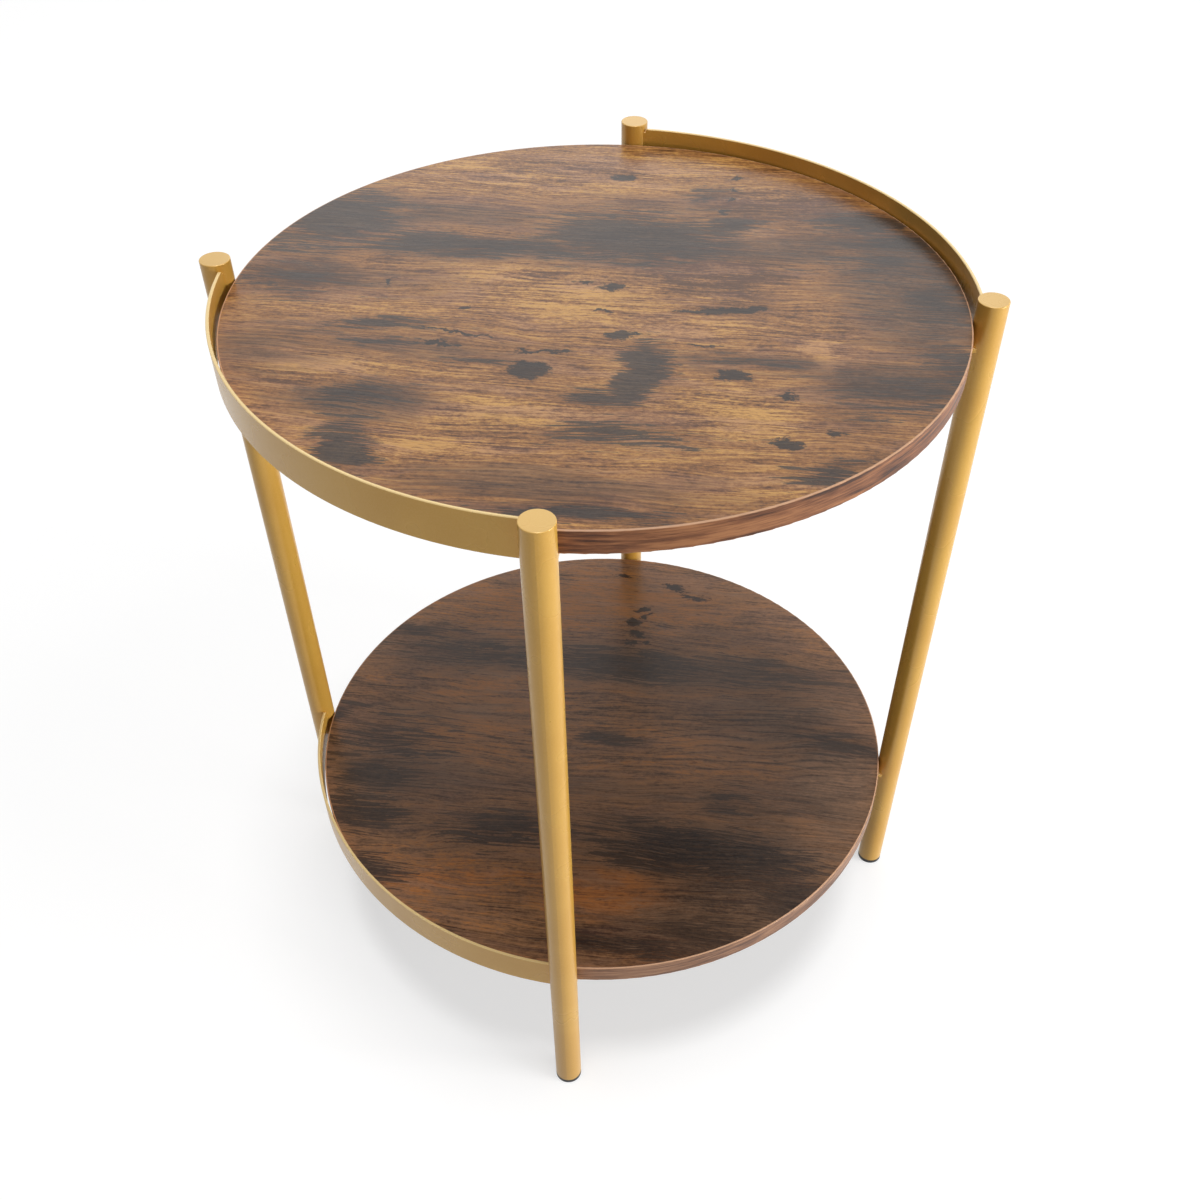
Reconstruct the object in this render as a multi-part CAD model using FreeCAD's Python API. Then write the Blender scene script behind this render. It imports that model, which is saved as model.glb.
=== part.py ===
import FreeCAD, Part
import math
import os

# Tiered side table: two round boards between four upright tube legs, with flat-bar guard rails
# rolled to an arc and welded between neighbouring legs. Millimetres, +Z up. The origin is on the
# floor at the centre of the table; the legs stand on the -X, +X, -Y and +Y axes.

# Boards
board_radius = 225.0
board_thickness = 15.0
laminate_thickness = 0.6
edge_band_thickness = 1.0
edge_band_round = 0.8
upper_board_height = 517.0  # floor to the top face
lower_board_height = 130.0  # floor to the top face
ease_share = 0.9  # most of a thickness that the easing of its edges takes

# Legs
leg_rise = 13.0  # above the upper board's top face
leg_diameter = 19.0
leg_wall = 1.2
leg_board_gap = 0.5
tube_fit = 0.1  # radial room for what is pushed into a tube

# End caps
cap_thickness = 1.5
cap_edge_round = 0.5
cap_spigot_length = 4.0
cap_spigot_wall = 1.5

# Feet
foot_flange_thickness = 4.0
foot_edge_round = 1.0
foot_spigot_length = 16.0
foot_spigot_wall = 1.6
foot_rib_count = 3
foot_rib_depth = 0.7
foot_first_rib = 3.0  # above the flange
foot_rib_pitch = 4.0
foot_rib_length = 2.4

# Guard rails
rail_thickness = 2.0
rail_height = 25.0
rail_rise = 10.0  # above the board's top face
rail_end_gap = 4.0  # from the board's edge, at the legs
rail_middle_gap = 0.8  # from the board's edge, half way along
rail_edge_ease = 0.4
rail_end_round = 2.5  # corners of the bar's ends

# Support tabs
tab_thickness = 3.0
tab_width = 16.0
tab_screw_inset = 14.0  # from the board's edge to the screw
tab_corner_chamfer = 0.5

# Screws and threaded inserts
screw_diameter = 5.0
screw_length = 14.0  # under the head
screw_point_chamfer = 0.6
screw_head_diameter = 9.5
screw_head_height = 2.75
screw_head_flat_radius = 2.6
screw_head_rim = 0.7
screw_head_bulge = 0.6  # of the dome, out from its chord
screw_socket_flats = 3.0
screw_socket_depth = 1.6
screw_hole_room = 0.25  # radial room round the screw in the tab
insert_diameter = 8.0
insert_length = 10.0
insert_mouth_chamfer = 0.5
thread_fit = 0.05  # radial room between thread flanks
pocket_end_room = 1.0  # past the end of the screw

# Places that follow from the sizes above
leg_height = upper_board_height + leg_rise
leg_radius = leg_diameter / 2
leg_bore_radius = leg_radius - leg_wall
leg_circle_radius = board_radius + leg_board_gap + leg_radius
screw_circle_radius = board_radius - tab_screw_inset
board_heights = {"upper": upper_board_height, "lower": lower_board_height}
leg_angles = {"right": 0.0, "back": 90.0, "left": 180.0, "front": 270.0}
# Each rail: the board it guards and the legs that it runs between, counterclockwise
rails = {
    "upper_rail_left": ("upper", "left", "front"),
    "upper_rail_right": ("upper", "right", "back"),
    "lower_rail_left": ("lower", "left", "front"),
}

z_axis = FreeCAD.Vector(0, 0, 1)
origin = FreeCAD.Vector(0, 0, 0)


def cylinder(radius, bottom, height, x=0.0, y=0.0):
    return Part.makeCylinder(radius, height, FreeCAD.Vector(x, y, bottom), z_axis)


def turned(shape, angle):
    """Copy of a shape turned about the table's axis."""
    copy = shape.copy()
    copy.rotate(origin, z_axis, angle)
    return copy


def revolved(outline, angle=360.0):
    """Solid swept about the Z axis by a closed outline of (radius, height) points.

    A point with a third value is the middle of an arc between its neighbours.
    """
    points = [FreeCAD.Vector(p[0], 0, p[1]) for p in outline]
    is_middle = [len(p) == 3 for p in outline]
    edges = []
    count = len(outline)
    index = 0
    while index < count:
        after = (index + 1) % count
        if is_middle[after]:
            end = (index + 2) % count
            edges.append(Part.Arc(points[index], points[after], points[end]).toShape())
            index += 2
        else:
            edges.append(Part.LineSegment(points[index], points[after]).toShape())
            index += 1
    return Part.Face(Part.Wire(edges)).revolve(origin, z_axis, angle)


def rounded_corner(x, y, radius, side_x, side_y, start_vertical):
    """Start, middle and end of a quarter round that replaces the corner at x, y.

    side_x and side_y point from the corner towards the inside of the outline.
    """
    slant = radius * (1 - math.sqrt(0.5))
    on_vertical = (x, y + side_y * radius)
    on_horizontal = (x + side_x * radius, y)
    middle = (x + side_x * slant, y + side_y * slant, "middle")
    if start_vertical:
        return [on_vertical, middle, on_horizontal]
    return [on_horizontal, middle, on_vertical]


def edge_band(top):
    """Edge strip round a board, its two outer edges eased."""
    inner = board_radius - edge_band_thickness
    bottom = top - board_thickness
    ease = min(edge_band_round, ease_share * edge_band_thickness)
    outline = [(inner, bottom)]
    outline += rounded_corner(board_radius, bottom, ease, -1, 1, False)
    outline += rounded_corner(board_radius, top, ease, -1, -1, True)
    outline += [(inner, top)]
    return revolved(outline)


def screw_places():
    """Plan position of the screw at each leg."""
    places = []
    for angle in leg_angles.values():
        turn = math.radians(angle)
        places.append((screw_circle_radius * math.cos(turn), screw_circle_radius * math.sin(turn)))
    return places


def board_parts(name, top):
    """Core, two laminate faces and edge strip of one board."""
    underside = top - board_thickness
    disc_radius = board_radius - edge_band_thickness
    core = cylinder(disc_radius, underside + laminate_thickness, board_thickness - 2 * laminate_thickness)
    top_face = cylinder(disc_radius, top - laminate_thickness, laminate_thickness)
    bottom_face = cylinder(disc_radius, underside, laminate_thickness)
    screw_reach = screw_length - tab_thickness + pocket_end_room
    for x, y in screw_places():
        insert_pocket = cylinder(insert_diameter / 2 + thread_fit, underside, insert_length, x, y)
        screw_pocket = cylinder(screw_diameter / 2 + screw_hole_room, underside, screw_reach, x, y)
        core = core.cut(insert_pocket).cut(screw_pocket)
        bottom_face = bottom_face.cut(insert_pocket)
    return {
        name + "_board_core": core,
        name + "_board_top_laminate": top_face,
        name + "_board_bottom_laminate": bottom_face,
        name + "_board_edge_band": edge_band(top),
    }


def leg_tube():
    """Tube between the foot's flange and the end cap, on the +X axis."""
    length = leg_height - cap_thickness - foot_flange_thickness
    outside = cylinder(leg_radius, foot_flange_thickness, length, leg_circle_radius)
    bore = cylinder(leg_bore_radius, foot_flange_thickness, length, leg_circle_radius)
    return outside.cut(bore)


def leg_cap():
    """Flat end disc with an eased rim and a short spigot in the tube, on the +X axis."""
    seat = leg_height - cap_thickness
    spigot_radius = leg_bore_radius - tube_fit
    ease = min(cap_edge_round, ease_share * cap_thickness)
    outline = [(0, seat - cap_spigot_wall)]
    outline += [(spigot_radius - cap_spigot_wall, seat - cap_spigot_wall)]
    outline += [(spigot_radius - cap_spigot_wall, seat - cap_spigot_length)]
    outline += [(spigot_radius, seat - cap_spigot_length), (spigot_radius, seat), (leg_radius, seat)]
    outline += rounded_corner(leg_radius, leg_height, ease, -1, -1, True)
    outline += [(0, leg_height)]
    cap = revolved(outline)
    cap.translate(FreeCAD.Vector(leg_circle_radius, 0, 0))
    return cap


def foot():
    """Push-in foot: a flange under the tube and a hollow spigot with barbed ribs, on the +X axis."""
    rib_radius = leg_bore_radius - tube_fit
    spigot_radius = rib_radius - foot_rib_depth
    spigot_top = foot_flange_thickness + foot_spigot_length
    ease = min(foot_edge_round, ease_share * foot_flange_thickness)
    outline = [(0, 0)]
    outline += rounded_corner(leg_radius, 0, ease, -1, 1, False)
    outline += [(leg_radius, foot_flange_thickness), (spigot_radius, foot_flange_thickness)]
    for rib in range(foot_rib_count):
        base = foot_flange_thickness + foot_first_rib + rib * foot_rib_pitch
        outline += [(spigot_radius, base), (rib_radius, base), (spigot_radius, base + foot_rib_length)]
    outline += [(spigot_radius, spigot_top), (spigot_radius - foot_spigot_wall, spigot_top)]
    outline += [(spigot_radius - foot_spigot_wall, foot_flange_thickness), (0, foot_flange_thickness)]
    plug = revolved(outline)
    plug.translate(FreeCAD.Vector(leg_circle_radius, 0, 0))
    return plug


def guard_rail(top, start_angle):
    """Flat bar rolled to an arc, its ends coped to the two round legs and their corners rounded.

    The arc is a little flatter than the board's rim: it nearly touches the rim half way along and
    stands off it at the legs. Its axis is set back from the table's by the amount that this takes.
    """
    at_leg = board_radius + rail_end_gap
    halfway = board_radius + rail_middle_gap
    half_turn = math.radians(45)
    half_chord = at_leg * math.sin(half_turn)
    rise = halfway - at_leg * math.cos(half_turn)
    inner = (half_chord ** 2 + rise ** 2) / (2 * rise)
    outer = inner + rail_thickness
    setback = inner - halfway
    sweep = 2 * math.degrees(math.asin(half_chord / inner))

    upper_edge = top + rail_rise
    lower_edge = upper_edge - rail_height
    ease = min(rail_edge_ease, ease_share * rail_thickness / 2)
    outline = [(inner + ease, lower_edge), (outer - ease, lower_edge)]
    outline += [(outer, lower_edge + ease), (outer, upper_edge - ease)]
    outline += [(outer - ease, upper_edge), (inner + ease, upper_edge)]
    outline += [(inner, upper_edge - ease), (inner, lower_edge + ease)]
    rail = turned(revolved(outline, sweep), 45 - sweep / 2)
    rail.translate(FreeCAD.Vector(-setback * math.cos(half_turn), -setback * math.sin(half_turn), 0))
    for angle in (0.0, 90.0):
        leg_shape = cylinder(leg_radius, lower_edge, rail_height, leg_circle_radius)
        rail = rail.cut(turned(leg_shape, angle))
    for corner in end_corners(at_leg + rail_thickness, lower_edge, upper_edge):
        rail = rail.cut(corner)
    return turned(rail, start_angle)


def end_corners(outer_face, lower_edge, upper_edge):
    """What rounding takes off the four corners of a rail that runs from the +X leg to the +Y leg."""
    aside = leg_circle_radius - outer_face
    end = math.sqrt(leg_radius ** 2 - aside ** 2)
    left = outer_face - leg_radius
    corners = []
    for edge, inward in ((lower_edge, 1), (upper_edge, -1)):
        square_corner = FreeCAD.Vector(left, end - rail_end_round, edge - rail_end_round)
        square = Part.makeBox(leg_diameter, 2 * rail_end_round, 2 * rail_end_round, square_corner)
        centre = FreeCAD.Vector(left, end + rail_end_round, edge + inward * rail_end_round)
        disc = Part.makeCylinder(rail_end_round, leg_diameter, centre, FreeCAD.Vector(1, 0, 0))
        corner = square.cut(disc)
        corners += [corner, corner.mirror(origin, FreeCAD.Vector(1, -1, 0))]
    return corners


def support_tab(top):
    """Flat tab welded to the inside of a leg, under the board, on the +X axis.

    Its inner end is a half round about the screw and its outer end is coped to the tube.
    """
    bottom = top - board_thickness - tab_thickness
    arm_length = leg_circle_radius - screw_circle_radius
    corner = FreeCAD.Vector(screw_circle_radius, -tab_width / 2, bottom)
    arm = Part.makeBox(arm_length, tab_width, tab_thickness, corner)
    nose = cylinder(tab_width / 2, bottom, tab_thickness, screw_circle_radius)
    tab = arm.fuse(nose).removeSplitter()
    ease = min(tab_corner_chamfer, ease_share * tab_thickness / 2)
    lower_rim = [edge for edge in tab.Edges if edge.BoundBox.ZMax < bottom + ease]
    tab = tab.makeChamfer(ease, lower_rim)
    hole = cylinder(screw_diameter / 2 + screw_hole_room, bottom, tab_thickness, screw_circle_radius)
    return tab.cut(hole).cut(cylinder(leg_radius, bottom, tab_thickness, leg_circle_radius))


def screw(top):
    """Button-head screw with a hexagon socket, up through a tab into the board, on the +X axis."""
    seat = top - board_thickness - tab_thickness
    shank = screw_diameter / 2
    head = screw_head_diameter / 2
    tip = seat + screw_length
    head_bottom = seat - screw_head_height
    head_edge = seat - screw_head_rim
    run = head - screw_head_flat_radius
    climb = head_edge - head_bottom
    chord = math.hypot(run, climb)
    dome_radius = (head + screw_head_flat_radius) / 2 + screw_head_bulge * climb / chord
    dome_height = (head_bottom + head_edge) / 2 - screw_head_bulge * run / chord
    outline = [(0, head_bottom), (screw_head_flat_radius, head_bottom)]
    outline += [(dome_radius, dome_height, "middle"), (head, head_edge)]
    outline += [(head, seat), (shank, seat), (shank, tip - screw_point_chamfer)]
    outline += [(shank - screw_point_chamfer, tip), (0, tip)]
    body = revolved(outline)
    socket_radius = screw_socket_flats / math.sqrt(3)
    corners = []
    for step in range(7):
        turn = math.radians(60 * step)
        corners.append(FreeCAD.Vector(socket_radius * math.cos(turn), socket_radius * math.sin(turn), head_bottom))
    socket = Part.Face(Part.makePolygon(corners)).extrude(FreeCAD.Vector(0, 0, screw_socket_depth))
    body = body.cut(socket)
    body.translate(FreeCAD.Vector(screw_circle_radius, 0, 0))
    return body


def threaded_insert(top):
    """Threaded sleeve let into the underside of a board, on the +X axis."""
    bottom = top - board_thickness
    outer = insert_diameter / 2
    bore = screw_diameter / 2 + thread_fit
    ease = min(insert_mouth_chamfer, ease_share * (outer - bore) / 2)
    outline = [(bore + ease, bottom), (outer, bottom), (outer, bottom + insert_length - ease)]
    outline += [(outer - ease, bottom + insert_length), (bore, bottom + insert_length), (bore, bottom + ease)]
    sleeve = revolved(outline)
    sleeve.translate(FreeCAD.Vector(screw_circle_radius, 0, 0))
    return sleeve


def at_each_leg(shape):
    """One group of separate copies of a shape, one at each leg."""
    return Part.makeCompound([turned(shape, angle) for angle in leg_angles.values()])


def build():
    """Every piece of the table, by node name."""
    parts = {}
    for side, angle in leg_angles.items():
        parts["leg_" + side] = turned(leg_tube(), angle)
        parts["leg_cap_" + side] = turned(leg_cap(), angle)
        parts["foot_" + side] = turned(foot(), angle)
    for name, top in board_heights.items():
        parts.update(board_parts(name, top))
        for side, angle in leg_angles.items():
            parts[name + "_tab_" + side] = turned(support_tab(top), angle)
        parts[name + "_screws"] = at_each_leg(screw(top))
        parts[name + "_threaded_inserts"] = at_each_leg(threaded_insert(top))
    for name, (board, first_leg, _) in rails.items():
        parts[name] = guard_rail(board_heights[board], leg_angles[first_leg])
    return parts


os.makedirs("parts", exist_ok=True)
for node, shape in build().items():
    shape.exportStep("parts/" + node + ".step")
    print(node, "solids", len(shape.Solids), "volume", round(shape.Volume), "valid", shape.isValid())
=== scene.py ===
import math

import bpy
import numpy as np
from mathutils import Matrix, Vector


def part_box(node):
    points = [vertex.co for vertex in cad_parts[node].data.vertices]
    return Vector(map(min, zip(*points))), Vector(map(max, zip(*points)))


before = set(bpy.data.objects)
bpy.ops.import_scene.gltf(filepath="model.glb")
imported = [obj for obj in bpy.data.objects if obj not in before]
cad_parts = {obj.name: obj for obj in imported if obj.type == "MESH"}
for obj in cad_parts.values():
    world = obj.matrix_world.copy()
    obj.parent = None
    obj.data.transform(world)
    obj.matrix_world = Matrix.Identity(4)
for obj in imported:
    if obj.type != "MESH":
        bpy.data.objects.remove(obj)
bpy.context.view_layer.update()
print("frame loaded:", len(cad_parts), "nodes")


# Names of the boards and legs, and heights and a radius read from the frame, in metres
tiers = ("upper", "lower")
sides = ("right", "back", "left", "front")
boardTop = {tier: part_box(tier + "_board_top_laminate")[1][2] for tier in tiers}
boardBottom = {tier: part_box(tier + "_board_bottom_laminate")[0][2] for tier in tiers}
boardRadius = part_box("upper_board_edge_band")[1][0]


def plug(tree, value, socket):
    if isinstance(value, bpy.types.NodeSocket):
        tree.links.new(value, socket)
    elif value is not None:
        socket.default_value = value


def maths(tree, operation, first, second=None, third=None):
    node = tree.nodes.new("ShaderNodeMath")
    node.operation = operation
    for value, socket in zip((first, second, third), node.inputs):
        plug(tree, value, socket)
    return node.outputs[0]


def vectorMaths(tree, operation, first, second=None):
    node = tree.nodes.new("ShaderNodeVectorMath")
    node.operation = operation
    plug(tree, first, node.inputs[0])
    plug(tree, second, node.inputs[1])
    return node.outputs["Value" if operation in ("LENGTH", "DOT_PRODUCT") else "Vector"]


def mixColours(tree, amount, first, second):
    # The Mix node keeps its colours in sockets 6 and 7, and their blend in output 2
    node = tree.nodes.new("ShaderNodeMix")
    node.data_type = "RGBA"
    plug(tree, amount, node.inputs[0])
    plug(tree, first, node.inputs[6])
    plug(tree, second, node.inputs[7])
    return node.outputs[2]


def mapped(tree, value, low=0.0, high=1.0, outLow=0.0, outHigh=1.0, smooth=True):
    node = tree.nodes.new("ShaderNodeMapRange")
    node.interpolation_type = "SMOOTHSTEP" if smooth else "LINEAR"
    for setting, socket in zip((value, low, high, outLow, outHigh), node.inputs):
        plug(tree, setting, socket)
    return node.outputs[0]


def noise(tree, vector, scale, detail=2.0, roughness=0.5, distortion=0.0, colour=False):
    node = tree.nodes.new("ShaderNodeTexNoise")
    plug(tree, vector, node.inputs["Vector"])
    node.inputs["Scale"].default_value = scale
    node.inputs["Detail"].default_value = detail
    node.inputs["Roughness"].default_value = roughness
    node.inputs["Distortion"].default_value = distortion
    return node.outputs["Color" if colour else "Fac"]


def mapping(tree, vector, place=(0, 0, 0), scale=(1, 1, 1)):
    node = tree.nodes.new("ShaderNodeMapping")
    plug(tree, vector, node.inputs["Vector"])
    node.inputs["Location"].default_value = place
    node.inputs["Scale"].default_value = scale
    return node.outputs["Vector"]


def patterned(tree, vector, scale, detail, roughness=0.5, distortion=0.0, place=(0, 0, 0)):
    # Noise with a scale of its own along each axis, in waves per metre
    return noise(tree, mapping(tree, vector, place, scale), 1.0, detail, roughness, distortion)


def colourRamp(tree, value, stops):
    node = tree.nodes.new("ShaderNodeValToRGB")
    plug(tree, value, node.inputs["Fac"])
    ramp = node.color_ramp
    while len(ramp.elements) < len(stops):
        ramp.elements.new(0.5)
    for element, (position, colour) in zip(ramp.elements, stops):
        element.position = position
        element.color = colour
    return node.outputs["Color"]


def bump(tree, height, strength, distance):
    node = tree.nodes.new("ShaderNodeBump")
    node.inputs["Strength"].default_value = strength
    node.inputs["Distance"].default_value = distance
    plug(tree, height, node.inputs["Height"])
    return node.outputs["Normal"]


def paint(red, green, blue):
    # 0 to 255 as on a screen, to the linear values that the shader takes
    share = np.array([red, green, blue]) / 255
    linear = np.where(share <= 0.04045, share / 12.92, ((share + 0.055) / 1.055) ** 2.4)
    return (*linear.tolist(), 1.0)


def newMaterial(name):
    material = bpy.data.materials.new(name)
    material.use_nodes = True
    tree = material.node_tree
    tree.nodes.clear()
    output = tree.nodes.new("ShaderNodeOutputMaterial")
    shader = tree.nodes.new("ShaderNodeBsdfPrincipled")
    tree.links.new(shader.outputs["BSDF"], output.inputs["Surface"])
    coordinates = tree.nodes.new("ShaderNodeTexCoord").outputs["Object"]
    return material, tree, shader, coordinates


def dress(material, *names):
    for name in names:
        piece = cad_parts[name]
        piece.data.materials.clear()
        piece.data.materials.append(material)


# The board faces are a printed rustic wood laminate with an embossed satin grain.
# A spot is (x, y, half length, half width, turn in degrees, depth of colour), in millimetres,
# and so are ringCentre and ringSpacing
perMetre = 1000
upperFace = {
    "light": paint(202, 152, 87),
    "middle": paint(157, 108, 63),
    "dark": paint(86, 55, 34),
    "greySheenAndGlintLight": paint(137, 98, 66),
    "greyAndSheenDark": paint(58, 42, 33),
    "blotLight": paint(64, 54, 48),
    "blot": paint(35, 32, 32),
    "toneRange": (3.50, 4.56),  # tones that show as dark and as light
    "ringReach": 0.30,  # metres from the ring centre, across the grain
    "lineDepth": 1.35,  # contrast of the fine lines
    "ruddyLight": paint(184, 136, 100),
    "ruddyDark": paint(98, 64, 50),
    "amberLight": paint(210, 160, 88),
    "amberDark": paint(120, 80, 44),
    "amberDepth": 0.45,
    "seed": 3.0,
    "ringCentre": (140, 20),
    "ringSpacing": 4.5,
    "ringDepth": 0.35,
    "blots": [
        (-182, 88, 52, 48, 20, 1.15), (-90, 62, 110, 18, 0, 0.92), (18, 82, 72, 38, 3, 1.20),
        (76, 106, 30, 12, 14, 0.95), (158, 118, 32, 16, -6, 1.20), (204, 20, 26, 40, 0, 0.42),
        (-198, 4, 36, 16, 0, 0.42), (-122, -42, 36, 7, 4, 0.62), (-116, -60, 26, 4, 0, 0.62),
        (33, -84, 16, 40, -10, 1.15), (18, -108, 22, 12, 0, 0.85), (-113, -166, 16, 24, 10, 1.10),
        (-122, -120, 22, 12, 0, 0.50), (22, -142, 40, 10, 0, 0.52), (15, -209, 56, 7, 3, 0.95),
        (138, -162, 22, 12, 20, 0.85), (186, -84, 40, 20, 0, 0.50), (186, 90, 40, 14, 0, 0.75),
        (186, 66, 44, 18, 0, 0.42), (60, 146, 12, 10, 0, 0.40), (-58, -78, 20, 4, 0, 0.50),
        (95, -62, 30, 5, 0, 0.45), (214, -60, 20, 30, 0, 0.6),
    ],
    # Grey patches of the print; the large ones on the right also paint a greyish sheen
    "greyAndSheen": [
        (-160, 14, 90, 26, 0, 0.6), (196, 30, 64, 100, 0, 1.6), (180, -78, 70, 26, 0, 1.5),
        (-90, -66, 90, 16, 0, 0.6), (100, -64, 70, 14, 0, 0.8), (126, 74, 90, 24, 0, 0.9),
        (-190, -80, 50, 40, 0, 0.5), (-120, -125, 54, 22, 0, 1.1), (-110, 100, 90, 20, 0, 0.8),
        (-10, -190, 110, 20, 0, 0.8), (-60, 52, 120, 22, 0, 0.8), (20, 130, 60, 16, 0, 0.6),
    ],
    "knotsAndReflection": [
        (0, 169, 12, 5, 0, 1.0), (8, 16, 10, 6, 0, 1.05), (-8, 20, 12, 3.5, 0, 0.8),
        (5, -14, 8, 3, 0, 0.9), (19, -41, 13, 6, 12, 1.05), (-28, -83, 16, 11, -8, 1.15),
        (87, -77, 14, 7.5, 0, 1.05), (117, -141, 10, 6.5, 0, 1.05), (145, -127, 8, 5, 0, 0.85),
        (84, -4, 36, 4.8, 10, 1.0), (66, -9, 24, 4.0, 0, 0.95), (-75, -47, 34, 2.2, -10, 1.0),
        (-84, -60, 24, 3.0, 0, 0.95), (70, -47, 12, 2.2, 0, 0.85), (-25, -63, 26, 2.4, 4, 0.95),
        (-76, -18, 6, 3.4, 0, 0.9), (76, 176, 9, 3.0, 40, 0.66), (78, 158, 7, 3.4, -30, 0.66),
        (73, 141, 8, 3.0, 60, 0.66), (72, 124, 9, 3.2, 20, 0.66), (117, -96, 5, 8, 0, 0.8),
        (-128, 8, 3, 9, -20, 0.75),
    ],
    "paleAndSheen": [
        (0, 4, 70, 40, 0, 0.8), (92, -114, 44, 26, 0, 1.1), (136, -46, 11, 30, 0, 1.5),
        (-30, -128, 56, 18, 0, 1.1), (-66, -160, 48, 20, 0, 1.0), (-60, 20, 50, 24, 0, 0.7),
        (110, -185, 50, 14, 10, 0.5), (-30, 170, 130, 40, 0, 0.35), (60, -30, 60, 16, 0, 0.7),
        (-150, -30, 60, 12, 0, 0.4), (-150, -90, 60, 16, 0, 0.8),
    ],
    "ambers": [
        (0, 4, 70, 40, 0, 0.8), (92, -114, 44, 26, 0, 1.1), (-36, -126, 64, 20, 0, 1.0),
        (-150, -90, 60, 16, 0, 0.7), (-30, 170, 130, 40, 0, 0.4),
    ],
    # Painted shade near the back rail and across the face, and darker brown patches of the print
    "shades": [
        (20, -206, 120, 18, 0, 0.8), (160, -110, 40, 60, 0, 0.6), (-90, 116, 110, 22, 0, 0.7),
        (110, 140, 80, 40, 0, 1.5), (-150, -60, 60, 30, 0, 0.6), (74, 36, 80, 56, 0, 1.4),
        (-184, 14, 60, 34, 0, 1.3), (150, 95, 60, 26, 0, 1.2),
    ],
}
# The lower face's colours are darker than the upper's: partly its print, partly painted shade under the
# upper board
lowerFace = {
    "light": paint(180, 119, 66),
    "middle": paint(142, 103, 72),
    "dark": paint(68, 45, 31),
    "greySheenAndGlintLight": paint(144, 111, 86),
    "greyAndSheenDark": paint(70, 53, 42),
    "blotLight": paint(76, 58, 46),
    "blot": paint(38, 29, 26),
    "toneRange": (3.21, 4.83),
    "ringReach": 0.050,
    "lineDepth": 1.7,
    "ruddyLight": paint(160, 121, 94),
    "ruddyDark": paint(72, 50, 42),
    "amberLight": paint(186, 113, 56),
    "amberDark": paint(78, 44, 25),
    "amberDepth": 0.70,
    "seed": 11.0,
    "ringCentre": (74, 2),
    "ringSpacing": 3.3,
    "ringDepth": 2.4,
    "blots": [
        (14, 82, 70, 24, 0, 0.95), (-110, 84, 90, 14, 0, 0.55), (-182, 106, 42, 12, 0, 0.80),
        (140, 84, 90, 16, 0, 0.34), (-168, -24, 56, 22, 0, 0.48), (-176, -62, 44, 26, 0, 0.50),
        (-178, -104, 44, 20, 0, 1.05), (-66, -104, 52, 20, 0, 0.95), (96, -116, 96, 26, -6, 1.10),
        (172, -150, 40, 28, -10, 0.80), (8, -6, 24, 7, 0, 0.85), (186, 8, 30, 12, 0, 0.50),
        (104, -60, 18, 14, 0, 0.40), (-160, -156, 24, 20, 0, 0.80), (30, -204, 60, 8, 0, 0.95),
        (100, -188, 40, 14, 0, 0.55), (-215, 0, 16, 20, 0, 0.6),
    ],
    "greyAndSheen": [
        (0, 80, 260, 34, 0, 1.2), (-160, -60, 90, 50, 0, 0.7), (100, -110, 150, 44, 0, 1.0),
        (150, 30, 100, 60, 0, 0.7), (-120, 10, 110, 30, 0, 0.4), (196, -40, 60, 70, 0, 1.3),
        (130, -176, 120, 50, 0, 1.5), (120, 190, 90, 30, 0, 0.3), (60, -60, 150, 24, 0, 0.5),
    ],
    # Knots; the small ones in a column behind the middle paint a dark reflection of the back leg
    "knotsAndReflection": [
        (46, 188, 16, 5.5, -24, 0.8), (66, 176, 18, 5, -14, 0.75), (16, 155, 11, 5, 20, 1.1),
        (12, 138, 9, 6, 0, 1.15), (15, 123, 11, 5, -15, 1.1), (12, 111, 10, 5, 0, 1.1),
        (24, 148, 8, 4, 30, 0.9), (-5, 200, 12, 3, 0, 0.9), (26, 112, 7, 4, 0, 0.85),
    ],
    # Pale patches of the print, and at the back and left a painted sheen and painted light over the
    # upper board's shade
    "paleAndSheen": [
        (24, -158, 60, 30, 0, 1.2), (-100, -150, 80, 26, 0, 0.8), (70, 2, 52, 12, 0, 0.9),
        (20, 170, 150, 50, 0, 1.5), (60, -44, 150, 18, 0, 0.4), (-120, -10, 90, 50, 0, 1.2),
        (-70, 150, 120, 44, 0, 1.3), (-60, -190, 60, 16, 0, 0.6), (-80, 40, 170, 110, 0, 0.7),
    ],
    "ambers": [
        (28, -160, 70, 34, 0, 1.4), (-100, -156, 80, 26, 0, 0.7), (90, -206, 110, 26, 0, 0.8),
    ],
    # Painted shadow of the upper board, darkest at the front
    "shades": [
        (50, -202, 150, 30, 0, 1.6), (120, -152, 110, 44, 0, 1.5), (-90, -196, 70, 22, 0, 0.8),
        (150, -60, 80, 26, 0, 0.8), (-60, -60, 90, 20, 0, 0.7),
    ],
}


def awayFrom(tree, vector, x, y, length, width, turn):
    # Distance from a spot's centre, in its half sizes. Vector Math nodes only: with a Mapping node
    # for each spot the shader would hold too many vectors at once, and Cycles would render it black
    offset = vectorMaths(tree, "SUBTRACT", vector, (x / perMetre, y / perMetre, 0))
    if turn == 0:
        stretched = vectorMaths(tree, "MULTIPLY", offset, (perMetre / length, perMetre / width, 0))
        return vectorMaths(tree, "LENGTH", stretched)
    cosine = perMetre * math.cos(math.radians(turn))
    sine = perMetre * math.sin(math.radians(turn))
    along = vectorMaths(tree, "DOT_PRODUCT", offset, (cosine / length, sine / length, 0))
    across = vectorMaths(tree, "DOT_PRODUCT", offset, (-sine / width, cosine / width, 0))
    squares = maths(tree, "MULTIPLY_ADD", across, across, maths(tree, "MULTIPLY", along, along))
    return maths(tree, "SQRT", squares)


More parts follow.
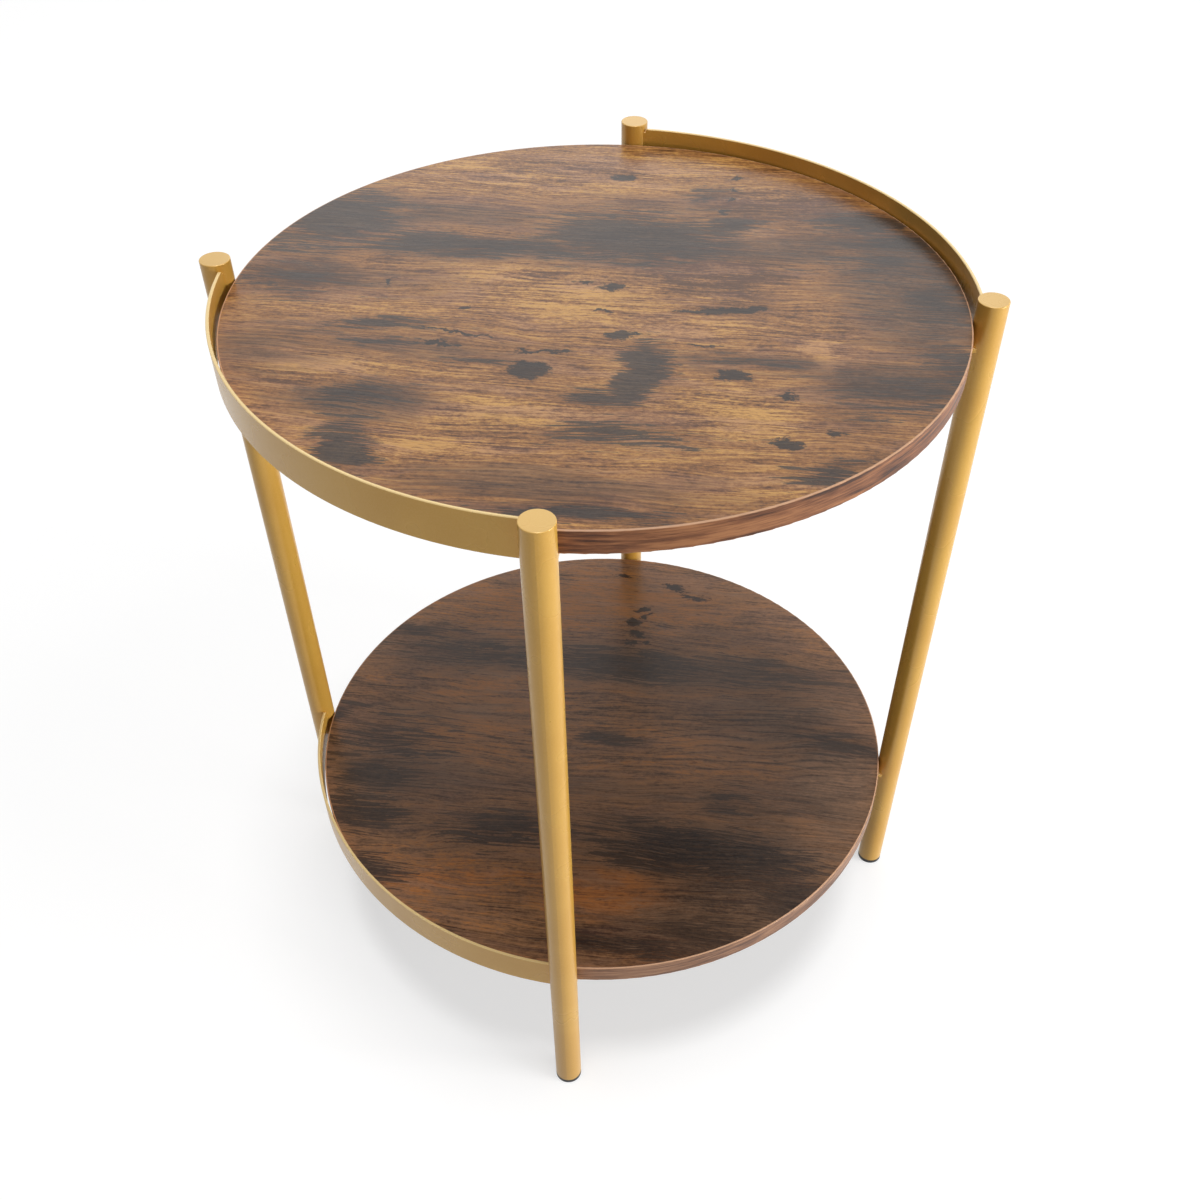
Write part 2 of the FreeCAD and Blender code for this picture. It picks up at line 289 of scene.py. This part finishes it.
def largestOf(tree, vector, spots):
    # Greatest value, over the spots, of depth * (1 - distance in half sizes from the spot's centre)
    best = None
    for *place, depth in spots:
        value = maths(tree, "MULTIPLY_ADD", awayFrom(tree, vector, *place), -depth, depth)
        best = value if best is None else maths(tree, "MAXIMUM", best, value)
    return best


def frayed(tree, vector, spots, *rags):
    # The spots' field, with noise added so that their edges fray
    field = largestOf(tree, vector, spots)
    for rag in rags:
        field = maths(tree, "ADD", field, rag)
    return field


def shifted(tree, vector, moved, scale, reach, detail):
    # The vector moved about by noise: by up to half of reach, in metres, along X and Y
    push = noise(tree, mapping(tree, moved, scale=scale), 1.0, detail, roughness=0.62, colour=True)
    centred = vectorMaths(tree, "SUBTRACT", push, (0.5, 0.5, 0.5))
    return vectorMaths(tree, "ADD", vector, vectorMaths(tree, "MULTIPLY", centred, (*reach, 0)))


def weighted(tree, *terms):
    # Sum of value * weight
    total = None
    for value, weight in terms:
        if total is None:
            total = maths(tree, "MULTIPLY", value, weight)
        else:
            total = maths(tree, "MULTIPLY_ADD", value, weight, total)
    return total


# Noises of the grain: X runs along it, Y across it
grainLayers = {
    "fibre": {"scale": (56, 580, 1), "detail": 4.0, "roughness": 0.74},
    "strand": {"scale": (17, 200, 1), "detail": 4.0, "roughness": 0.66},
    "band": {"scale": (7, 52, 1), "detail": 5.0, "roughness": 0.64},
    "pore": {"scale": (110, 900, 1), "detail": 2.0},
    "speck": {"scale": (260, 430, 1), "detail": 4.0, "roughness": 0.76},
    "cloud": {"scale": (11, 21, 1), "detail": 6.0, "roughness": 0.70, "distortion": 0.4},
    "mottle": {"scale": (38, 84, 1), "detail": 5.0, "roughness": 0.74, "distortion": 0.3},
    "glint": {"scale": (52, 640, 1), "detail": 2.0, "place": (7.3, 2.1, 0)},
    "line": {"scale": (21, 680, 1), "detail": 1.0, "place": (4.1, 1.3, 0)},
    "hue": {
        "scale": (12, 60, 1), "detail": 4.0, "roughness": 0.62, "distortion": 0.4,
        "place": (2.7, 5.9, 0),
    },
}
# Satin varnish over the print, the same on both faces
varnish = {
    "embossStrength": 0.35,
    "embossDepth": 0.0004,
    "roughness": (0.34, 0.24),
    "specular": 0.22,
}


def laminate(name, look, height):
    material, tree, shader, coordinates = newMaterial(name)
    seed = look["seed"]
    flat = mapping(tree, coordinates, (0, 0, -height))
    moved = mapping(tree, flat, (seed, seed * 0.7, seed * 0.3))

    # Fibres: noise drawn out along X, bent a little across the board
    along = shifted(tree, moved, moved, (3.0, 9.0, 1), (0.0, 0.05), 3.0)
    fibre = patterned(tree, along, **grainLayers["fibre"])
    strand = patterned(tree, along, **grainLayers["strand"])
    band = patterned(tree, along, **grainLayers["band"])
    pore = patterned(tree, along, **grainLayers["pore"])
    speck = patterned(tree, moved, **grainLayers["speck"])
    cloud = patterned(tree, moved, **grainLayers["cloud"])
    mottle = patterned(tree, along, **grainLayers["mottle"])
    glint = patterned(tree, along, **grainLayers["glint"])
    line = patterned(tree, along, **grainLayers["line"])
    hue = patterned(tree, along, **grainLayers["hue"])

    # Growth rings of a flat-sawn board: the distance from a point, with X drawn out, in equal steps.
    # They show within ringReach of that point, and more where the strands are light
    ringX, ringY = look["ringCentre"]
    warped = shifted(tree, flat, moved, (5, 9, 1), (0.0, 0.05), 2.5)
    centred = mapping(tree, warped, (-ringX / perMetre, -ringY / perMetre, 0))
    drawn = mapping(tree, centred, scale=(0.075, 1.0, 1.0))
    turns = maths(tree, "MULTIPLY", vectorMaths(tree, "LENGTH", drawn), perMetre / look["ringSpacing"])
    ring = mapped(tree, maths(tree, "PINGPONG", turns, 1.0), 0.58, 0.92)
    ring = maths(tree, "MULTIPLY", ring, mapped(tree, strand, 0.30, 0.56, 0.35, 1.0))
    across = vectorMaths(tree, "LENGTH", mapping(tree, centred, scale=(0.12, 1.0, 1.0)))
    reach = look["ringReach"]
    ring = maths(tree, "MULTIPLY", ring, mapped(tree, across, 0.6 * reach, reach, 1.0, 0.0))

    # Masks for the patches, the painted sheen, shade and reflection, and the knots: the spots' own
    # shapes, pulled about by noise, with edges that follow the grain. Both rags are near 0 on average
    pushed = shifted(tree, flat, moved, (14, 24, 1), (0.060, 0.030), 5.0)
    nudged = shifted(tree, flat, moved, (90, 120, 1), (0.026, 0.017), 6.0)
    streaks = weighted(tree, (fibre, 0.45), (strand, 0.55))
    rag = weighted(
        tree, (fibre, 1.4), (strand, 1.9), (speck, 0.9), (band, 0.8), (cloud, 1.0), (1.0, -3.0))
    lineRag = weighted(tree, (line, 2.2), (1.0, -1.1))
    blotMask = mapped(tree, frayed(tree, pushed, look["blots"], rag, lineRag), 0.05, 0.32)
    # Grey patches of the print, and on the upper face's right a painted greyish sheen
    greyAndSheenMask = mapped(tree, frayed(tree, pushed, look["greyAndSheen"], rag), 0.0, 0.70)
    # Pale patches of the print, and on the lower face a painted sheen and painted light
    paleAndSheenMask = mapped(tree, frayed(tree, pushed, look["paleAndSheen"], rag))
    amberMask = mapped(tree, frayed(tree, pushed, look["ambers"], rag))
    # Painted shade, and on the upper face also darker brown patches of the print
    shadeMask = mapped(tree, frayed(tree, pushed, look["shades"], rag))
    knotAndReflectionRag = weighted(tree, (streaks, 1.5), (speck, 1.5))
    knotAndReflectionMask = mapped(tree, frayed(tree, nudged, look["knotsAndReflection"], knotAndReflectionRag), 1.62, 1.94)

    # Tone of the wood: the pale patches and painted sheen lighten it, and the painted shade, grey
    # patches and rings darken it.
    # The constant term takes away the mean of the line noise, 0.5, so that lineDepth changes the
    # contrast and not the level
    ringMask = maths(tree, "MULTIPLY", ring, mapped(tree, cloud, 0.36, 0.56, 0.45, 1.0))
    lineDepth = look["lineDepth"]
    tone = weighted(
        tree, (fibre, 1.4), (strand, 1.2), (band, 0.8), (cloud, 1.3), (speck, 1.65), (mottle, 1.1),
        (line, lineDepth), (0.5, 0.6 - lineDepth), (paleAndSheenMask, 0.48), (shadeMask, -0.42),
        (greyAndSheenMask, -0.10), (ringMask, -0.24 * look["ringDepth"]))
    share = mapped(tree, tone, *look["toneRange"], smooth=False)
    stops = [(0.0, look["dark"]), (0.5, look["middle"]), (1.0, look["light"])]
    wood = colourRamp(tree, share, stops)

    # Colours over it: warm and reddish patches, grey patches that also paint a greyish sheen, then
    # pores, blots, fine pale lines that are painted highlights of the embossing, and knots with a
    # painted reflection of the back leg
    amber = mixColours(tree, share, look["amberDark"], look["amberLight"])
    wood = mixColours(tree, maths(tree, "MULTIPLY", amberMask, look["amberDepth"]), wood, amber)
    ruddy = mixColours(tree, share, look["ruddyDark"], look["ruddyLight"])
    wood = mixColours(tree, mapped(tree, hue, 0.48, 0.62, 0.0, 0.6), wood, ruddy)
    greyed = mixColours(tree, share, look["greyAndSheenDark"], look["greySheenAndGlintLight"])
    wood = mixColours(tree, maths(tree, "MULTIPLY", greyAndSheenMask, 0.85), wood, greyed)
    poreMask = maths(tree, "MULTIPLY", mapped(tree, pore, 0.60, 0.70), 0.6)
    wood = mixColours(tree, poreMask, wood, look["dark"])
    blotGrain = weighted(tree, (streaks, 0.4), (speck, 0.3), (line, 0.3))
    blotColour = mixColours(tree, mapped(tree, blotGrain, 0.44, 0.60), look["blot"], look["blotLight"])
    wood = mixColours(tree, maths(tree, "MULTIPLY", blotMask, 0.92), wood, blotColour)
    # Fine pale dashes: painted highlights where the embossing catches the light
    wood = mixColours(tree, mapped(tree, glint, 0.64, 0.74, 0.0, 0.45), wood, look["greySheenAndGlintLight"])
    # Knots, and on the lower face a painted dark reflection of the back leg
    wood = mixColours(tree, maths(tree, "MULTIPLY", knotAndReflectionMask, 0.92), wood, look["blot"])
    plug(tree, wood, shader.inputs["Base Color"])

    emboss = weighted(tree, (fibre, 0.7), (pore, 0.3))
    relief = bump(tree, emboss, varnish["embossStrength"], varnish["embossDepth"])
    plug(tree, relief, shader.inputs["Normal"])
    gloss = mapped(tree, streaks, 0.3, 0.7, *varnish["roughness"], smooth=False)
    plug(tree, gloss, shader.inputs["Roughness"])
    shader.inputs["Specular IOR Level"].default_value = varnish["specular"]
    return material


for tier, look in (("upper", upperFace), ("lower", lowerFace)):
    dress(laminate(tier + "FaceLaminate", look, boardTop[tier]), tier + "_board_top_laminate")
print("board faces dressed")


# Undersides, cores and edge bands
underside = {
    "light": paint(112, 78, 52),
    "dark": paint(74, 50, 36),
    "grainScale": (7, 260, 1),
    "cloudScale": (6, 14, 1),
    "roughness": (0.52, 0.62),
}


def undersideLaminate():
    material, tree, shader, coordinates = newMaterial("undersideLaminate")
    grain = patterned(tree, coordinates, underside["grainScale"], 4.0, 0.6)
    cloud = patterned(tree, coordinates, underside["cloudScale"], 3.0)
    tone = weighted(tree, (grain, 0.7), (cloud, 0.3))
    colour = mixColours(tree, mapped(tree, tone, 0.32, 0.68), underside["dark"], underside["light"])
    plug(tree, colour, shader.inputs["Base Color"])
    plug(tree, mapped(tree, grain, 0.3, 0.7, *underside["roughness"]), shader.inputs["Roughness"])
    plug(tree, bump(tree, grain, 0.2, 0.0002), shader.inputs["Normal"])
    return material


chipboard = {
    "light": paint(202, 170, 124),
    "dark": paint(142, 108, 70),
    "chipsPerMetre": 420.0,
    "stretch": (1.0, 0.7, 1.6),
    "raggedness": 0.003,  # metres that the chips' edges are pulled about
    "raggedScale": 300.0,
    "roughness": (0.78, 0.92),
}


def chipboardCore():
    material, tree, shader, coordinates = newMaterial("chipboardCore")
    cells = tree.nodes.new("ShaderNodeTexVoronoi")
    stretched = mapping(tree, coordinates, scale=chipboard["stretch"])
    push = noise(tree, coordinates, chipboard["raggedScale"], 2.0, colour=True)
    pull = vectorMaths(tree, "MULTIPLY", push, (chipboard["raggedness"],) * 3)
    plug(tree, vectorMaths(tree, "ADD", stretched, pull), cells.inputs["Vector"])
    cells.inputs["Scale"].default_value = chipboard["chipsPerMetre"]
    chip = tree.nodes.new("ShaderNodeSeparateColor")
    plug(tree, cells.outputs["Color"], chip.inputs[0])
    colour = mixColours(tree, chip.outputs[0], chipboard["dark"], chipboard["light"])
    plug(tree, colour, shader.inputs["Base Color"])
    roughness = mapped(tree, chip.outputs[1], 0.0, 1.0, *chipboard["roughness"])
    plug(tree, roughness, shader.inputs["Roughness"])
    plug(tree, bump(tree, cells.outputs["Distance"], 0.4, 0.0006), shader.inputs["Normal"])
    return material


edgeStrip = {
    # the print's dark, middle and light; the lower strip's are paler, as painted light from the floor's
    # glare on the same print
    "upper": (paint(60, 36, 26), paint(126, 80, 52), paint(168, 115, 76)),
    "lower": (paint(84, 60, 48), paint(138, 100, 76), paint(172, 132, 102)),
    "rim": paint(196, 154, 122),
    "rimWidth": 0.0007,  # width of the pale line along the strip's top and bottom edges
    "rimWobble": 0.0003,
    "lineScale": (34, 620, 1),  # round the rim and up it
    "waveScale": (22, 240, 1),
    "cloudScale": (9, 60, 1),
    "roughness": (0.40, 0.50),
    "specular": 0.25,
}


def edgeBand(tier, top, bottom):
    # The grain runs round the board: its coordinates are the length of arc and the height
    material, tree, shader, coordinates = newMaterial(tier + "EdgeStrip")
    split = tree.nodes.new("ShaderNodeSeparateXYZ")
    plug(tree, coordinates, split.inputs[0])
    angle = maths(tree, "ARCTAN2", split.outputs["Y"], split.outputs["X"])
    unrolled = tree.nodes.new("ShaderNodeCombineXYZ")
    plug(tree, maths(tree, "MULTIPLY", angle, boardRadius), unrolled.inputs["X"])
    plug(tree, split.outputs["Z"], unrolled.inputs["Y"])
    follow = unrolled.outputs["Vector"]
    line = patterned(tree, follow, edgeStrip["lineScale"], 4.0, 0.72)
    wave = patterned(tree, follow, edgeStrip["waveScale"], 3.0, distortion=0.6)
    cloud = patterned(tree, follow, edgeStrip["cloudScale"], 3.0)
    tone = weighted(tree, (line, 0.5), (wave, 0.35), (cloud, 0.25))
    stops = list(zip((0.0, 0.5, 1.0), edgeStrip[tier]))
    wood = colourRamp(tree, mapped(tree, tone, 0.45, 0.66, smooth=False), stops)
    middle = (top + bottom) / 2
    half = (top - bottom) / 2
    rim = edgeStrip["rimWidth"]
    fromMiddle = maths(tree, "ABSOLUTE", maths(tree, "SUBTRACT", split.outputs["Z"], middle))
    fromMiddle = maths(tree, "MULTIPLY_ADD", line, edgeStrip["rimWobble"], fromMiddle)
    rimMask = mapped(tree, fromMiddle, half - rim, half - 0.3 * rim)
    plug(tree, mixColours(tree, rimMask, wood, edgeStrip["rim"]), shader.inputs["Base Color"])
    plug(tree, mapped(tree, line, 0.3, 0.7, *edgeStrip["roughness"]), shader.inputs["Roughness"])
    plug(tree, bump(tree, line, 0.25, 0.0003), shader.inputs["Normal"])
    shader.inputs["Specular IOR Level"].default_value = edgeStrip["specular"]
    return material


for tier in tiers:
    dress(edgeBand(tier, boardTop[tier], boardBottom[tier]), tier + "_board_edge_band")
dress(undersideLaminate(), "upper_board_bottom_laminate", "lower_board_bottom_laminate")
dress(chipboardCore(), "upper_board_core", "lower_board_core")
print("edges and undersides dressed")


# Satin gold powder coat on legs, caps, rails and tabs
goldCoat = {
    "base": paint(216, 167, 72),
    "worn": paint(208, 157, 64),
    "metallic": 0.12,
    "specular": 0.5,
    "roughness": (0.25, 0.32),
    "fleck": paint(232, 192, 116),
    "fleckShare": 0.12,
    # painted highlight colour for faces that point up
    "edge": paint(250, 222, 160),
    "grainSize": 0.0009,
    "grainDepth": 0.0001,
    "cloudScale": 14.0,
}


def goldPowderCoat(name, shift, highlightShare):
    material, tree, shader, coordinates = newMaterial(name)
    moved = mapping(tree, coordinates, (shift, shift * 0.5, shift * 0.25))
    peel = noise(tree, moved, 1 / goldCoat["grainSize"], 2.0, 0.5)
    cloud = noise(tree, moved, goldCoat["cloudScale"], 3.0, 0.55)
    base = mixColours(tree, mapped(tree, cloud, 0.35, 0.7), goldCoat["base"], goldCoat["worn"])
    fleckMask = mapped(tree, peel, 0.35, 0.7, 0.0, goldCoat["fleckShare"])
    flecked = mixColours(tree, fleckMask, base, goldCoat["fleck"])
    # Faces that point up, such as cap tops and the rails' top edges, are paler: a painted highlight of
    # the light from above
    facing = tree.nodes.new("ShaderNodeSeparateXYZ")
    plug(tree, tree.nodes.new("ShaderNodeNewGeometry").outputs["Normal"], facing.inputs[0])
    upwardHighlightMask = mapped(tree, facing.outputs["Z"], 0.4, 0.8, 0.0, highlightShare)
    plug(tree, mixColours(tree, upwardHighlightMask, flecked, goldCoat["edge"]), shader.inputs["Base Color"])
    shader.inputs["Metallic"].default_value = goldCoat["metallic"]
    shader.inputs["Specular IOR Level"].default_value = goldCoat["specular"]
    plug(tree, mapped(tree, cloud, 0.3, 0.7, *goldCoat["roughness"]), shader.inputs["Roughness"])
    plug(tree, bump(tree, peel, 0.12, goldCoat["grainDepth"]), shader.inputs["Normal"])
    return material


legGold = goldPowderCoat("legGold", 0.0, 0.25)
railGold = goldPowderCoat("railGold", 3.0, 0.85)
dress(legGold, *["leg_" + side for side in sides], *["leg_cap_" + side for side in sides])
dress(railGold, "upper_rail_left", "upper_rail_right", "lower_rail_left")
dress(railGold, *[tier + "_tab_" + side for tier in tiers for side in sides])

# Matt black plastic of the feet
plastic = {
    "base": paint(30, 29, 28),
    "scuff": paint(58, 56, 53),
    "roughness": (0.48, 0.62),
    "grainScale": 900.0,
    "scuffScale": 120.0,
}


def blackPlastic():
    material, tree, shader, coordinates = newMaterial("blackPlastic")
    grain = noise(tree, coordinates, plastic["grainScale"], 3.0, 0.6)
    wear = noise(tree, coordinates, plastic["scuffScale"], 4.0, 0.6)
    scuffMask = mapped(tree, wear, 0.55, 0.75, 0.0, 0.5)
    colour = mixColours(tree, scuffMask, plastic["base"], plastic["scuff"])
    plug(tree, colour, shader.inputs["Base Color"])
    plug(tree, mapped(tree, grain, 0.3, 0.7, *plastic["roughness"]), shader.inputs["Roughness"])
    plug(tree, bump(tree, grain, 0.25, 0.0002), shader.inputs["Normal"])
    return material


dress(blackPlastic(), *["foot_" + side for side in sides])

# Zinc plate on screws and inserts
zinc = {
    "base": paint(188, 190, 192),
    "dull": paint(146, 146, 142),
    "roughness": (0.28, 0.42),
    "cloudScale": 240.0,
    "grainScale": 1500.0,
}


def platedSteel():
    material, tree, shader, coordinates = newMaterial("platedSteel")
    cloud = noise(tree, coordinates, zinc["cloudScale"], 4.0, 0.6)
    colour = mixColours(tree, mapped(tree, cloud, 0.4, 0.7), zinc["base"], zinc["dull"])
    plug(tree, colour, shader.inputs["Base Color"])
    shader.inputs["Metallic"].default_value = 1.0
    plug(tree, mapped(tree, cloud, 0.3, 0.7, *zinc["roughness"]), shader.inputs["Roughness"])
    grain = noise(tree, coordinates, zinc["grainScale"], 2.0)
    plug(tree, bump(tree, grain, 0.1, 0.0001), shader.inputs["Normal"])
    return material


dress(platedSteel(), "upper_screws", "lower_screws", "upper_threaded_inserts", "lower_threaded_inserts")
print("metalwork dressed")


# Floor, light and camera
studio = {
    "floorSize": 16.0,
    "floorShade": 0.48,  # grey of the floor, before its lift
    "floorLift": 0.56,  # share of the floor's white that shadow can't take away
    "worldGrey": 0.15,
    # place, width, height, watts of each soft lamp
    "lamps": {
        "backSoftbox": ((-0.2, 2.3, 1.9), 2.0, 1.4, 8.0),
        "rightSoftbox": ((2.4, -0.7, 0.6), 1.1, 1.1, 56.0),
        "leftSoftbox": ((-2.4, -0.9, 1.5), 1.2, 1.6, 2.0),
    },
    "lampAim": (0, 0, 0.3),  # about the middle of the table
    "skylight": ((0.04, -0.04, 1.0), 20.0, 1.98),  # direction towards it, degrees across, strength
}


def seenDirectly(tree):
    # 1 for camera, glossy and transmission rays, 0 for the rest
    path = tree.nodes.new("ShaderNodeLightPath")
    either = maths(tree, "MAXIMUM", path.outputs["Is Camera Ray"], path.outputs["Is Glossy Ray"])
    return maths(tree, "MAXIMUM", either, path.outputs["Is Transmission Ray"])


def studioFloor():
    half = studio["floorSize"] / 2
    mesh = bpy.data.meshes.new("studioFloor")
    corners = [(-half, -half, 0), (half, -half, 0), (half, half, 0), (-half, half, 0)]
    mesh.from_pydata(corners, [], [(0, 1, 2, 3)])
    floor = bpy.data.objects.new("studioFloor", mesh)
    bpy.context.scene.collection.objects.link(floor)
    material, tree, shader, _ = newMaterial("paperFloor")
    shade = studio["floorShade"]
    shader.inputs["Base Color"].default_value = (shade, shade, shade, 1)
    shader.inputs["Roughness"].default_value = 0.9
    shader.inputs["Specular IOR Level"].default_value = 0.1
    lift = maths(tree, "MULTIPLY", seenDirectly(tree), studio["floorLift"])
    shader.inputs["Emission Color"].default_value = (1, 1, 1, 1)
    plug(tree, lift, shader.inputs["Emission Strength"])
    mesh.materials.append(material)


def studioWorld():
    world = bpy.data.worlds.new("studioWorld")
    world.use_nodes = True
    tree = world.node_tree
    tree.nodes.clear()
    output = tree.nodes.new("ShaderNodeOutputWorld")
    back = tree.nodes.new("ShaderNodeBackground")
    back.inputs["Color"].default_value = (1, 1, 1, 1)
    strength = mapped(tree, seenDirectly(tree), outLow=studio["worldGrey"])
    plug(tree, strength, back.inputs["Strength"])
    tree.links.new(back.outputs[0], output.inputs["Surface"])
    bpy.context.scene.world = world


def softLamp(name, place, width, height, watts):
    lamp = bpy.data.lights.new(name, "AREA")
    lamp.shape = "RECTANGLE"
    lamp.size, lamp.size_y = width, height
    lamp.energy = watts
    holder = bpy.data.objects.new(name, lamp)
    holder.location = place
    aim = Vector(studio["lampAim"]) - Vector(place)
    holder.rotation_euler = aim.to_track_quat("-Z", "Y").to_euler()
    bpy.context.scene.collection.objects.link(holder)


def skyLamp(direction, across, strength):
    lamp = bpy.data.lights.new("skylight", "SUN")
    lamp.angle = math.radians(across)
    lamp.energy = strength
    holder = bpy.data.objects.new("skylight", lamp)
    holder.rotation_euler = Vector(direction).to_track_quat("Z", "Y").to_euler()
    bpy.context.scene.collection.objects.link(holder)


studioFloor()
studioWorld()
for lampName, (lampPlace, lampWidth, lampHeight, lampWatts) in studio["lamps"].items():
    softLamp(lampName, lampPlace, lampWidth, lampHeight, lampWatts)
skyLamp(*studio["skylight"])

viewpoint = {
    "place": (0.0911, -0.7168, 0.9088),
    "heading": 5.96,  # degrees left of the +Y axis
    "downward": 46.09,
    "roll": 0.09,
    "lens": 38.78,
    "shift": (-0.0185, 0.0912),
}


def placeCamera():
    data = bpy.data.cameras.new("camera")
    data.sensor_width = 36.0
    data.lens = viewpoint["lens"]
    data.shift_x, data.shift_y = viewpoint["shift"]
    data.clip_start = 0.01
    camera = bpy.data.objects.new("camera", data)
    turn = Matrix.Rotation(math.radians(viewpoint["heading"]), 4, "Z")
    tilt = Matrix.Rotation(math.radians(90 - viewpoint["downward"]), 4, "X")
    lean = Matrix.Rotation(math.radians(viewpoint["roll"]), 4, "Z")
    camera.matrix_world = Matrix.Translation(viewpoint["place"]) @ turn @ tilt @ lean
    bpy.context.scene.collection.objects.link(camera)
    bpy.context.scene.camera = camera


placeCamera()
bpy.context.scene.view_settings.view_transform = "Standard"
print("studio ready")
